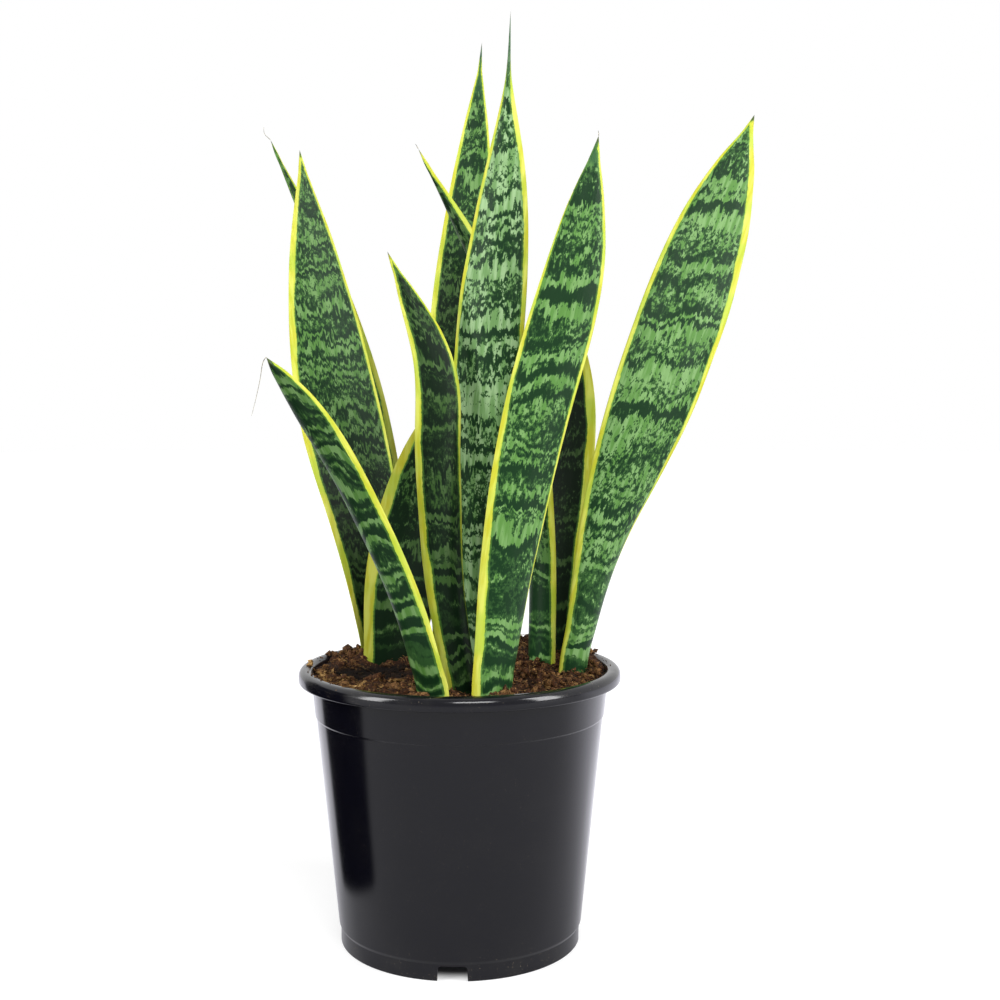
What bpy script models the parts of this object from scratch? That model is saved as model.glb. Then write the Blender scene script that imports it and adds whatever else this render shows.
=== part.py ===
"""A snake plant in a round nursery pot: the pot, its potting mix, three rhizomes and eleven leaves.

Sizes are in millimetres and are scaled to metres when a mesh is made. +Z is up, and the leaf that
leans towards -Y is at the front. The pot's foot stands on Z = 0. Everything is modelled round the
pot's axis, and the empty that carries it all then puts the middle of the whole plant at the origin.
"""

import math
from dataclasses import dataclass

import bmesh
import bpy
from mathutils import Matrix, Vector

METRES = 0.001

# Points closer than this are one point.
WELD = 0.001

# Edges that turn more sharply than this are drawn sharp.
SHARP_DEGREES = 40.0

# Gap left between two pieces that touch in the real plant.
CONTACT_GAP = 0.4

# Pot, a thin moulded shell.
POT_HEIGHT = 172.0
RIM_RADIUS = 100.0
RIM_OVERHANG = 8.0
FOOT_RADIUS = 75.0
WALL = 1.6
RIM_DROP = 8.5
RIM_WALL = 2.0
RIM_ROUND = 1.2
COLLAR_DROP = 29.0
COLLAR_STEP = 0.8
FOOT_HEIGHT = 10.0
FOOT_STEP = 0.6
FLOOR_THICKNESS = 2.0
POT_SIDES = 64

# Drain notches through the foot ring, and drain holes through the floor.
NOTCH_COUNT = 4
NOTCH_WIDTH = 19.0
NOTCH_TOP_WIDTH = 17.0
NOTCH_ROOF = 1.0
NOTCH_DEPTH = 12.0
FIRST_NOTCH_DEGREES = -92.0
DRAIN_HOLE_COUNT = 6
DRAIN_HOLE_RADIUS = 5.0
DRAIN_RING_RADIUS = 46.0
HOLE_SIDES = 16

# Potting mix: its level at the pot's axis, how much higher the back is, and its crumbs.
MIX_DROP = 3.5
MIX_TILT = 4.5
MIX_EDGE_DIP = 2.0
MIX_EDGE_SHARPNESS = 8
MIX_RINGS = 9

# Crumbs are ripples: radians per millimetre along X and along Y, phase, and height.
CRUMB_RIPPLES = ((0.12, 0.05, 1.3, 0.9), (-0.07, 0.15, 2.1, 0.7), (0.23, -0.19, 4.0, 0.4))

# Leaves: how deep they are buried, and how thick they are at the base and near the tip.
BURIED_DEPTH = 30.0
BASE_THICKNESS = 4.0
TIP_THICKNESS = 2.0
THICKEST_SHARE = 0.6
NEEDLE_WIDTH = 2.6
POCKET_HEIGHT = 24.0

# Cross-sections up a leaf, as shares of its height: how many, how much closer together they lie
# near the tip, the last one, and the length of midline that sets a section's tilt.
LEAF_STATIONS = 20
STATION_POWER = 0.9
LAST_STATION = 0.985
TILT_SHARE = 0.01

# Rhizomes, the creeping stems that the leaves grow from.
RHIZOME_RADIUS = 9.0
RHIZOME_END_ROUNDING = 0.85
RHIZOME_SIDES = 12
RHIZOME_STATIONS = 6

# Where along a leaf's width its outer and inner faces have a point, from -1 to 1.
OUTER_SPOTS = (-1.0, -0.7, -0.35, 0.0, 0.35, 0.7, 1.0)
INNER_SPOTS = (0.65, 0.0, -0.65)


@dataclass
class Clump:
    """A group of leaves on one rhizome, set by its direction and its distance in from the wall."""

    degrees: float
    inset: float
    rhizome_degrees: float
    rhizome_length: float


@dataclass
class Leaf:
    """A leaf's form. The path gives its offset from the clump at each quarter of its height."""

    clump: str
    height: float
    path: tuple
    base_width: float
    width: float
    widest_at: float
    base_facing: float
    tip_facing: float
    base_cup: float
    tip_cup: float
    swell: float = 1.3
    taper: float = 2.0
    needle: float = 5.0


CLUMPS = {
    "front": Clump(degrees=-84.0, inset=40.0, rhizome_degrees=12.0, rhizome_length=44.0),
    "right": Clump(degrees=18.0, inset=27.0, rhizome_degrees=100.0, rhizome_length=44.0),
    "back": Clump(degrees=127.0, inset=27.0, rhizome_degrees=28.0, rhizome_length=54.0),
}

LEAVES = {
    "front_left_leaf": Leaf(
        "front", 192.0, ((-21, -10), (-34, -20), (-53, -28), (-77, -36), (-109, -42)),
        base_width=27.0, width=28.5, widest_at=0.6, base_facing=40.0, tip_facing=42.0,
        base_cup=60.0, tip_cup=40.0, taper=4.0, needle=0.0),
    "front_right_leaf": Leaf(
        "front", 319.0, ((16.5, -11), (26, -10), (41, -8), (62, -7), (76, -5)),
        base_width=28.0, width=40.0, widest_at=0.55, base_facing=125.0, tip_facing=98.0,
        base_cup=50.0, tip_cup=18.0, taper=2.8),
    "centre_left_leaf": Leaf(
        "front", 255.0, ((-2, 0), (-12, 0), (-16, 1), (-19, 3), (-46, 8)),
        base_width=22.0, width=27.0, widest_at=0.55, base_facing=130.0, tip_facing=95.0,
        base_cup=50.0, tip_cup=25.0, taper=2.6),
    "tall_centre_leaf": Leaf(
        "front", 397.0, ((9, 20), (7, 17), (12, 16), (22, 20), (26, 25)),
        base_width=23.0, width=43.0, widest_at=0.5, base_facing=60.0, tip_facing=75.0,
        base_cup=45.0, tip_cup=18.0, needle=36.0),
    "right_leaf": Leaf(
        "right", 348.0, ((11, -20), (31, -21), (62, -18), (93, -5), (125, 11)),
        base_width=25.0, width=57.0, widest_at=0.53, base_facing=140.0, tip_facing=95.0,
        base_cup=56.0, tip_cup=12.0, swell=2.4, taper=3.0),
    "curved_leaf": Leaf(
        "right", 327.0, ((-10, 5), (-10, 7), (-18, 9), (-44, 11), (-87, 11)),
        base_width=24.0, width=24.0, widest_at=0.4, base_facing=40.0, tip_facing=40.0,
        base_cup=55.0, tip_cup=40.0, taper=3.0),
    "back_right_leaf": Leaf(
        "right", 240.0, ((0, 22), (4, 26), (10, 32), (13, 38), (9, 42)),
        base_width=22.0, width=32.0, widest_at=0.6, base_facing=270.0, tip_facing=290.0,
        base_cup=50.0, tip_cup=20.0),
    "short_back_leaf": Leaf(
        "back", 178.0, ((-5, -14), (0, -14), (7, -14), (15, -17), (26, -22)),
        base_width=43.0, width=52.0, widest_at=0.35, base_facing=120.0, tip_facing=110.0,
        base_cup=30.0, tip_cup=20.0),
    "left_leaf": Leaf(
        "back", 337.0, ((-16, -1), (-25, 7), (-45, 19), (-60, 30), (-72, 42)),
        base_width=24.0, width=56.0, widest_at=0.48, base_facing=290.0, tip_facing=250.0,
        base_cup=45.0, tip_cup=16.0),
    "back_left_leaf": Leaf(
        "back", 350.0, ((5, 15), (-13, 28), (-32, 41), (-58, 57), (-97, 75)),
        base_width=20.0, width=34.0, widest_at=0.5, base_facing=290.0, tip_facing=325.0,
        base_cup=45.0, tip_cup=45.0, taper=1.4),
    "tall_back_leaf": Leaf(
        "back", 409.0, ((30, 10), (30, 12), (36, 18), (44, 30), (51, 45)),
        base_width=22.0, width=41.0, widest_at=0.5, base_facing=270.0, tip_facing=265.0,
        base_cup=45.0, tip_cup=16.0, needle=14.0),
}

# Base colour, roughness and metallic value.
POT_FINISH = ((0.028, 0.028, 0.034, 1.0), 0.3, 0.0)
MIX_FINISH = ((0.09, 0.04, 0.02, 1.0), 0.95, 0.0)
RHIZOME_FINISH = ((0.62, 0.36, 0.14, 1.0), 0.6, 0.0)
LEAF_FINISH = ((0.06, 0.17, 0.05, 1.0), 0.4, 0.0)


def clear_scene():
    for thing in list(bpy.data.objects):
        bpy.data.objects.remove(thing)


def make_material(name, finish):
    color, roughness, metallic = finish
    material = bpy.data.materials.new(name)
    material.use_nodes = True
    shader = material.node_tree.nodes["Principled BSDF"]
    shader.inputs["Base Color"].default_value = color
    shader.inputs["Roughness"].default_value = roughness
    shader.inputs["Metallic"].default_value = metallic
    return material


def make_object(name, bm, carrier, material=None):
    """Turns a mesh in millimetres into an object in metres."""
    bmesh.ops.recalc_face_normals(bm, faces=bm.faces)
    bmesh.ops.scale(bm, vec=(METRES, METRES, METRES), verts=bm.verts)
    mesh = bpy.data.meshes.new(name)
    bm.to_mesh(mesh)
    bm.free()
    mesh.shade_smooth()
    mesh.set_sharp_from_angle(angle=math.radians(SHARP_DEGREES))
    thing = bpy.data.objects.new(name, mesh)
    bpy.context.scene.collection.objects.link(thing)
    thing.parent = carrier
    if material:
        thing.data.materials.append(material)
    return thing


def cut(target, cutters):
    """Cuts a group of cutters out of a piece in one go."""
    group = bpy.data.collections.new(target.name + "_cutters")
    bpy.context.scene.collection.children.link(group)
    for cutter in cutters:
        cutter.hide_render = True
        cutter.display_type = "WIRE"
        group.objects.link(cutter)
    boolean = target.modifiers.new(group.name, "BOOLEAN")
    boolean.operation = "DIFFERENCE"
    boolean.solver = "EXACT"
    boolean.operand_type = "COLLECTION"
    boolean.collection = group


def turned(profile, sides):
    """Spins a profile of (radius, height) points about Z. Points on the axis become poles."""
    bm = bmesh.new()
    rail = [bm.verts.new((radius, 0.0, height)) for radius, height in profile]
    edges = [bm.edges.new(pair) for pair in zip(rail, rail[1:])]
    bmesh.ops.spin(
        bm, geom=rail + edges, cent=(0, 0, 0), axis=(0, 0, 1), angle=math.tau,
        steps=sides, use_merge=True)
    bmesh.ops.remove_doubles(bm, verts=bm.verts, dist=WELD)
    return bm


def loft(rings, tip=None):
    """Joins rings of equal length into a closed body. It ends in a point where a tip is given."""
    bm = bmesh.new()
    loops = []
    for ring in rings:
        verts = [bm.verts.new(point) for point in ring]
        loops.append([bm.edges.new((a, b)) for a, b in zip(verts, verts[1:] + verts[:1])])
    for lower, upper in zip(loops, loops[1:]):
        bmesh.ops.bridge_loops(bm, edges=lower + upper)
    bmesh.ops.contextual_create(bm, geom=loops[0])
    if tip is None:
        bmesh.ops.contextual_create(bm, geom=loops[-1])
    else:
        point = bm.verts.new(tip)
        for edge in loops[-1]:
            bm.faces.new((*edge.verts, point))
    return bm


# Pot

def outer_radius(height):
    """Radius of the pot's outside below the collar's step, which flares evenly."""
    flare = RIM_RADIUS - RIM_OVERHANG - FOOT_RADIUS
    return FOOT_RADIUS + flare * height / POT_HEIGHT


def inner_radius(height):
    """Radius of the pot's inside, which follows the outside and its collar."""
    collar = COLLAR_STEP if height > POT_HEIGHT - COLLAR_DROP else 0.0
    return outer_radius(height) + collar - WALL


def floor_top():
    return FOOT_HEIGHT + FLOOR_THICKNESS


def pot_profile():
    step = POT_HEIGHT - COLLAR_DROP
    under_rim = POT_HEIGHT - RIM_WALL
    foot_inside = FOOT_RADIUS - WALL
    skirt_inside = RIM_RADIUS - RIM_WALL
    return [
        (0.0, FOOT_HEIGHT),
        (foot_inside, FOOT_HEIGHT),
        (foot_inside, 0.0),
        (FOOT_RADIUS, 0.0),
        (FOOT_RADIUS, FOOT_HEIGHT),
        (outer_radius(FOOT_HEIGHT) + FOOT_STEP, FOOT_HEIGHT + FOOT_STEP),
        (outer_radius(step), step - COLLAR_STEP),
        (outer_radius(step) + COLLAR_STEP, step),
        (outer_radius(under_rim) + COLLAR_STEP, under_rim),
        (skirt_inside, under_rim),
        (skirt_inside, POT_HEIGHT - RIM_DROP),
        (RIM_RADIUS, POT_HEIGHT - RIM_DROP),
        (RIM_RADIUS, POT_HEIGHT - RIM_ROUND),
        (RIM_RADIUS - RIM_ROUND, POT_HEIGHT),
        (inner_radius(POT_HEIGHT) + RIM_ROUND, POT_HEIGHT),
        (inner_radius(POT_HEIGHT), POT_HEIGHT - RIM_ROUND),
        (inner_radius(step + COLLAR_STEP), step + COLLAR_STEP),
        (inner_radius(step), step),
        (inner_radius(floor_top()), floor_top()),
        (0.0, floor_top()),
    ]


def notch_cutter(degrees, carrier):
    """A wedge through the foot ring, wider at the foot than at its top."""
    bm = bmesh.new()
    bmesh.ops.create_cube(bm, size=1.0)
    middle = FOOT_RADIUS - WALL / 2
    for vert in bm.verts:
        above = vert.co.z > 0
        width = NOTCH_TOP_WIDTH if above else NOTCH_WIDTH
        vert.co = Vector((
            middle + vert.co.x * NOTCH_DEPTH,
            vert.co.y * width,
            FOOT_HEIGHT - NOTCH_ROOF if above else -FOOT_HEIGHT,
        ))
    bmesh.ops.rotate(bm, verts=bm.verts, matrix=turn(degrees))
    return make_object("notch_cutter", bm, carrier)


def hole_cutter(degrees, carrier):
    bm = bmesh.new()
    bmesh.ops.create_cone(
        bm, cap_ends=True, segments=HOLE_SIDES, radius1=DRAIN_HOLE_RADIUS,
        radius2=DRAIN_HOLE_RADIUS, depth=4 * FLOOR_THICKNESS)
    middle = FOOT_HEIGHT + FLOOR_THICKNESS / 2
    bmesh.ops.translate(bm, verts=bm.verts, vec=(DRAIN_RING_RADIUS, 0, middle))
    bmesh.ops.rotate(bm, verts=bm.verts, matrix=turn(degrees))
    return make_object("hole_cutter", bm, carrier)


def turn(degrees):
    return Matrix.Rotation(math.radians(degrees), 3, "Z")


def make_pot(carrier):
    body = turned(pot_profile(), POT_SIDES)
    pot = make_object("pot", body, carrier, make_material("pot", POT_FINISH))
    notches = [
        notch_cutter(FIRST_NOTCH_DEGREES + index * 360 / NOTCH_COUNT, carrier)
        for index in range(NOTCH_COUNT)
    ]
    holes = [
        hole_cutter(index * 360 / DRAIN_HOLE_COUNT, carrier) for index in range(DRAIN_HOLE_COUNT)
    ]
    cut(pot, notches + holes)


# Leaves

def mix_level():
    return POT_HEIGHT - MIX_DROP


def mix_radius(height):
    """The mix's polygon is turned like the pot's, so both have their corners in one line."""
    return inner_radius(height) - CONTACT_GAP


def clump_centre(clump):
    distance = mix_radius(mix_level()) - clump.inset
    angle = math.radians(clump.degrees)
    return Vector((distance * math.cos(angle), distance * math.sin(angle), 0.0))


def path_point(leaf, share):
    """A point on the leaf's midline: a smooth curve through its path, and straight down below it."""
    start = clump_centre(CLUMPS[leaf.clump])
    offsets = [Vector((x, y, 0.0)) for x, y in leaf.path]
    rise = Vector((0.0, 0.0, mix_level() + share * leaf.height))
    if share <= 0:
        return start + offsets[0] + rise
    last = len(offsets) - 1
    index = min(int(share * last), last - 1)
    local = share * last - index
    before = offsets[index - 1] if index else offsets[0] * 2 - offsets[1]
    after = offsets[index + 2] if index + 2 <= last else offsets[last] * 2 - offsets[last - 1]
    a, b = offsets[index], offsets[index + 1]
    curve = (
        a * 2
        + (b - before) * local
        + (before * 2 - a * 5 + b * 4 - after) * local**2
        + (a * 3 - before - b * 3 + after) * local**3
    ) / 2
    return start + curve + rise


def leaf_width(leaf, share):
    """Swells from the base to the widest place, then narrows to the tip or to its needle."""
    if share <= leaf.widest_at:
        swell = math.sin(math.pi / 2 * max(share, 0.0) / leaf.widest_at)
        return leaf.base_width + (leaf.width - leaf.base_width) * swell**leaf.swell
    needle_share = leaf.needle / leaf.height
    blade_end = 1 - needle_share
    along = min((share - leaf.widest_at) / (blade_end - leaf.widest_at), 1.0)
    needle = NEEDLE_WIDTH * min((1 - share) / max(needle_share, 1 - LAST_STATION), 1.0)
    return max(leaf.width * (1 - along**leaf.taper), needle)


def leaf_ring(leaf, share, grow=0.0):
    """One cross-section: an arc, thick in the middle, whose hollow side is the leaf's inner face."""
    centre = path_point(leaf, share)
    ahead = path_point(leaf, share + TILT_SHARE)
    behind = path_point(leaf, share - TILT_SHARE)
    along = (ahead - behind).normalized()
    furl = (1 - max(share, 0.0)) ** 2
    facing = math.radians(leaf.tip_facing + (leaf.base_facing - leaf.tip_facing) * furl)
    cup = math.radians(leaf.tip_cup + (leaf.base_cup - leaf.tip_cup) * furl)
    hollow = Vector((math.cos(facing), math.sin(facing), 0.0))
    hollow = (hollow - along * hollow.dot(along)).normalized()
    across = along.cross(hollow)
    radius = leaf_width(leaf, share) / 2 / math.sin(cup)
    sag = radius * (1 - math.cos(cup))
    thickness = TIP_THICKNESS + (BASE_THICKNESS - TIP_THICKNESS) * (1 - max(share, 0.0))
    thickness = min(thickness, THICKEST_SHARE * leaf_width(leaf, share))
    pivot = centre + hollow * (radius - sag / 2)
    points = []
    for spots, side in ((OUTER_SPOTS, 1), (INNER_SPOTS, -1)):
        for spot in spots:
            reach = cup + 2 * grow / radius if abs(spot) == 1 else cup
            angle = spot * reach
            spread = thickness / 2 * (1 - spot**2)
            if abs(spot) < 1:
                spread += grow
            direction = across * math.sin(angle) - hollow * math.cos(angle)
            points.append(pivot + direction * (radius + side * spread))
    return points


def leaf_shares():
    """Where the cross-sections lie: even up the leaf, and closer together near the tip."""
    shares = [(index / LEAF_STATIONS) ** STATION_POWER for index in range(LEAF_STATIONS)]
    return shares + [LAST_STATION]


def make_leaf(name, leaf, carrier):
    bottom = -BURIED_DEPTH / leaf.height
    rings = [leaf_ring(leaf, bottom), leaf_ring(leaf, bottom / 2)]
    rings += [leaf_ring(leaf, share) for share in leaf_shares()]
    bm = loft(rings, tip=path_point(leaf, 1.0))
    return make_object(name, bm, carrier, make_material(name, LEAF_FINISH))


def make_pocket(name, leaf, carrier):
    """The hole in the mix for a leaf's buried base, larger than the leaf by the contact gap."""
    bottom = -(BURIED_DEPTH + 2 * CONTACT_GAP) / leaf.height
    top = POCKET_HEIGHT / leaf.height
    shares = [bottom, bottom / 2] + [share for share in leaf_shares() if share < top] + [top]
    rings = [leaf_ring(leaf, share, CONTACT_GAP) for share in shares]
    return make_object(name + "_pocket", loft(rings), carrier)


# Rhizomes

def rhizome_rings(clump, grow=0.0):
    """A creeping stem, level under its leaves, with rounded ends."""
    heading = math.radians(clump.rhizome_degrees)
    ahead = Vector((math.cos(heading), math.sin(heading), 0.0))
    aside = Vector((-ahead.y, ahead.x, 0.0))
    depth = mix_level() - BURIED_DEPTH - CONTACT_GAP - RHIZOME_RADIUS
    centre = clump_centre(clump) + Vector((0.0, 0.0, depth))
    rings = []
    for index in range(RHIZOME_STATIONS):
        share = 2 * index / (RHIZOME_STATIONS - 1) - 1
        radius = RHIZOME_RADIUS * math.sqrt(1 - RHIZOME_END_ROUNDING * share**4) + grow
        middle = centre + ahead * share * (clump.rhizome_length / 2 + grow)
        ring = []
        for corner in range(RHIZOME_SIDES):
            angle = math.tau * corner / RHIZOME_SIDES
            rise = Vector((0.0, 0.0, radius * math.sin(angle)))
            ring.append(middle + aside * radius * math.cos(angle) + rise)
        rings.append(ring)
    return rings


def make_rhizome(name, clump, carrier, material):
    return make_object(name, loft(rhizome_rings(clump)), carrier, material)


# Potting mix

def mix_height(x, y):
    """Height of the mix's top: level at the axis, higher at the back, low at the wall, crumbly."""
    reach = math.hypot(x, y) / mix_radius(mix_level())
    slope = MIX_TILT * y / mix_radius(mix_level())
    dip = MIX_EDGE_DIP * reach**MIX_EDGE_SHARPNESS
    crumbs = sum(height * math.sin(x * a + y * b + phase) for a, b, phase, height in CRUMB_RIPPLES)
    return mix_level() + slope - dip + crumbs


def mix_body():
    """A plug that fills the pot, built as a turned profile whose top is then made uneven."""
    step = POT_HEIGHT - COLLAR_DROP
    top = mix_level()
    base = floor_top() + CONTACT_GAP
    profile = [(0.0, base), (mix_radius(base), base), (mix_radius(step) - COLLAR_STEP / 2, step)]
    profile.append((mix_radius(step + 2 * COLLAR_STEP), step + 2 * COLLAR_STEP))
    for ring in range(MIX_RINGS, -1, -1):
        profile.append((mix_radius(top) * ring / MIX_RINGS, top))
    bm = turned(profile, POT_SIDES)
    for vert in bm.verts:
        if vert.co.z < top - WELD:
            continue
        height = mix_height(vert.co.x, vert.co.y)
        if math.hypot(vert.co.x, vert.co.y) > mix_radius(top) - WELD:
            vert.co *= mix_radius(height) / mix_radius(top)
        vert.co.z = height
    return bm


def make_mix(carrier):
    mix = make_object("potting_mix", mix_body(), carrier, make_material("potting_mix", MIX_FINISH))
    pockets = [make_pocket(name, leaf, carrier) for name, leaf in LEAVES.items()]
    for name, clump in CLUMPS.items():
        pocket = loft(rhizome_rings(clump, CONTACT_GAP))
        pockets.append(make_object(name + "_rhizome_pocket", pocket, carrier))
    cut(mix, pockets)


def centre_on_origin(carrier):
    """Moves the carrier so that the plant's box is centred on the Z axis."""
    corners = [
        vert.co
        for thing in bpy.data.objects
        if thing.type == "MESH" and not thing.hide_render
        for vert in thing.data.vertices
    ]
    for axis in (0, 1):
        values = [corner[axis] for corner in corners]
        carrier.location[axis] = -(min(values) + max(values)) / 2


def main():
    clear_scene()
    carrier = bpy.data.objects.new("plant_carrier", None)
    bpy.context.scene.collection.objects.link(carrier)
    make_pot(carrier)
    make_mix(carrier)
    rhizome = make_material("rhizome", RHIZOME_FINISH)
    for name, clump in CLUMPS.items():
        make_rhizome(name + "_rhizome", clump, carrier, rhizome)
    for name, leaf in LEAVES.items():
        make_leaf(name, leaf, carrier)
    centre_on_origin(carrier)


main()
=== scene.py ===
"""The looks of a snake plant in a nursery pot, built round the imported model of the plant.

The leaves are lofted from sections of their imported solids, the pot is turned with rounded corners,
and the mix gets a crumbly top. Sizes are in metres, or in millimetres times MM, and +Z is up.
"""

import math
import random
from dataclasses import dataclass

import bmesh
import bpy
import numpy as np
from mathutils import Euler, Matrix, Vector, noise


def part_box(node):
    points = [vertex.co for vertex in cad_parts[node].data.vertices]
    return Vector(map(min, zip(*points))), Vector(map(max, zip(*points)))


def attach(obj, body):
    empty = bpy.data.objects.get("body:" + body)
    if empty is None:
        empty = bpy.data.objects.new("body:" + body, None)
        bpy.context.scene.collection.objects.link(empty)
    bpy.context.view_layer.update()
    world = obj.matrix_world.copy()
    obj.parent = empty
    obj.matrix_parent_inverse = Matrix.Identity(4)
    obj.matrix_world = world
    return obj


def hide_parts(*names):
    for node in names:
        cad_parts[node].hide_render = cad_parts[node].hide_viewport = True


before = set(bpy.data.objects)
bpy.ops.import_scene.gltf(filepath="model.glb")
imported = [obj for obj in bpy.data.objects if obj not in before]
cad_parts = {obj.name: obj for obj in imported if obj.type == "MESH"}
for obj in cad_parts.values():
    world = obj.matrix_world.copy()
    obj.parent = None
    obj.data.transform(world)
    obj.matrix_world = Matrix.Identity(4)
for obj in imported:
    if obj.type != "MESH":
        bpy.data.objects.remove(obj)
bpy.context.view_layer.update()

MM = 0.001
SEED = 7
WELD = 0.001 * MM
BODY = "root"

# Camera, as seen from the pot's axis, and its lens on a sensor of this width.
CAMERA_SIDE = 25 * MM
CAMERA_DISTANCE = 868 * MM
CAMERA_HEIGHT = 336 * MM
CAMERA_PITCH = 4.0
LENS = 50.5
SENSOR = 36.0

# Lights: place from the pot's axis, size and power. All of them face a point above the pot.
LIGHTS = {
    "key": ((0.3, -1.4, 1.2), (0.7, 0.5), 12.5),
    "right_strip": ((1.3, -0.65, 0.75), (0.5, 1.2), 20),
    "left_strip": ((-1.3, -0.75, 0.8), (0.5, 1.2), 20),
}
LIT_HEIGHT = 0.28

# World: its brightness in front and behind, and a dark flag that only reflections show.
WORLD_DIFFUSE = (0.3, 0.8)
WORLD_GLOSSY = (0.42, 0.95)
FLAG_TONE = 0.06
FLAG_FRONT = (-0.2, -0.1)
FLAG_BACK = (0.75, 0.68)
FLAG_SIDE = (-0.3, -0.5)
FLAG_TOP = (0.5, 0.4)

# Floor: its glow as seen near the pot and far from it, its glow in reflections in front of the pot
# and behind it, and a dark sheet that only reflections show. The sheet's near and far edges slope
# away from the pot.
FLOOR_RADIUS = 9.0
FLOOR_SIDES = 96
FLOOR_GREY = (0.5, 0.5, 0.5, 1.0)
SEEN_GLOW = (0.6, 0.85)
MIRRORED_GLOW = (0.2, 1.05)
MIRRORED_DIMMING = 0.3
SHEET_SIDE = -138 * MM
SHEET_NEAR = 55 * MM
SHEET_NEAR_SLOPE = 0.149
SHEET_FAR = -114.5 * MM
SHEET_FAR_SLOPE = 1.055
SHEET_BLUR = 12 * MM

# Leaves: faces round a section and along a leaf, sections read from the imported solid, and the
# wave of the edges, which fades out over so many sections at the base and the tip.
LEAF_SIDES = 44
LEAF_STEPS = 190
LEAF_SECTIONS = 26
SECTION_CROWDING = 1.35
FIRST_SECTION = 1.0 * MM
LAST_SHARE = 0.985
EDGE_FULLNESS = 0.3
EDGE_ROUNDING = 6
WAVE_LENGTH = 42 * MM
WAVE_HEIGHT = 1.1 * MM
WAVE_SPACING = 9.7
WAVE_FADE = (8, 5)
PATTERN_SPACING = 1000.0
MARGIN_SPACING = 500.0

# Pot: the sizes that its profile needs besides its height and rim.
RIM_OVERHANG = 8.0 * MM
FOOT_RADIUS = 75.0 * MM
WALL = 1.6 * MM
RIM_DROP = 8.5 * MM
RIM_WALL = 2.0 * MM
COLLAR_DROP = 29.0 * MM
COLLAR_STEP = 0.8 * MM
FOOT_HEIGHT = 10.0 * MM
FOOT_STEP = 0.1 * MM
FOOT_SLOPE = 2.0 * MM
FLOOR_THICKNESS = 2.0 * MM
FINE_ROUNDING = 0.35 * MM
CREASE = math.radians(35)
POT_STEPS = 256
CORNER_SEGMENTS = 5
NOTCH_COUNT = 4
NOTCH_WIDTH = 19.0 * MM
NOTCH_TOP_WIDTH = 17.0 * MM
NOTCH_ROOF = 1.0 * MM
NOTCH_DEPTH = 12.0 * MM
NOTCH_CORNER = 2.0 * MM
FIRST_NOTCH_DEGREES = -92.0
DRAIN_HOLE_COUNT = 6
DRAIN_HOLE_RADIUS = 5.0 * MM
DRAIN_RING_RADIUS = 46.0 * MM

# Potting mix.
MIX_GAP = 0.4 * MM
MIX_RINGS = 110
MIX_STEPS = 330
MIX_EDGE_DIP = 1.5 * MM
MIX_EDGE_SHARPNESS = 12
MIX_TOP_DEPTH = 14 * MM

# Lumps in the mix's top, in millimetres: how wide and how high, from broad mounds to crumbs.
MIX_LUMPS = ((30, 2.6), (12, 3.0), (5, 2.4), (2.2, 1.0))

# Mounds and hollows in the mix's top: direction from the axis, and reach, radius and rise in
# millimetres.
MIX_FORMS = (
    (176.0, 58, 18, -15),
    (150.0, 44, 9, -8),
    (190.0, 38, 10, -7),
    (-35.0, 52, 9, -5),
    (15.0, 84, 18, 2),
    (40.0, 82, 20, 3),
    (68.0, 76, 20, 8),
    (95.0, 82, 20, 5),
    (120.0, 84, 20, 3.5),
    (148.0, 84, 18, 2),
    (205.0, 78, 13, 1.5),
    (-68.0, 70, 8, 4),
)

# Loose bits: how many lie evenly spread, and over what share of the mix's radius. SPILL is how
# far past that radius they lie at the back, and how far inside it at the front.
CLODS, CLOD_REACH = 1500, 0.97
CHIPS, CHIP_REACH = 190, 0.92
FIBRES, FIBRE_REACH = 460, 0.93
SPILL = 5.0 * MM

# Where more bits lie: direction, reach and spread in millimetres, and how many chips or fibres and
# how many clods.
DRIFTS = (
    (212.0, 84, 9, 46, 60),
    (186.0, 82, 9, 34, 50),
    (235.0, 86, 6, 16, 20),
    (258.0, 86, 5, 10, 16),
    (-66.0, 76, 6, 18, 40),
    (-38.0, 78, 10, 12, 30),
    (32.0, 88, 6, 16, 60),
    (55.0, 86, 7, 8, 60),
    (125.0, 86, 7, 6, 60),
    (152.0, 87, 6, 12, 60),
)
GOLDEN_DRIFTS = (212.0, 186.0, 235.0, 258.0)

# Tiny crumbs on the rim: direction and spread in degrees, and how many. Their reach is in
# millimetres, and ON_RIM marks their spots.
RIM_CRUMBS = ((205, 18, 16), (262, 16, 10), (300, 20, 6), (40, 22, 34), (140, 22, 34))
RIM_REACH = (91.5, 95.0)
ON_RIM = -1.0

# The least and most of a clod's size along each axis, as shares of its size.
CLOD_SHAPE = ((0.8, 1.5), (0.7, 1.1), (0.5, 0.9))

# A fibre that hangs over the rim: reach, turn, and height above the pot's top.
RIM_FIBRE_TURN = math.radians(226.0)
RIM_FIBRE = ((83, 0.05, -2.0), (90, 0.0, 0.8), (95, 0.02, 0.9), (99, -0.01, -1.6))
FIBRE_THICKNESS = 0.17 * MM
THREAD_THICKNESS = 0.22 * MM


# Node trees

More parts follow.
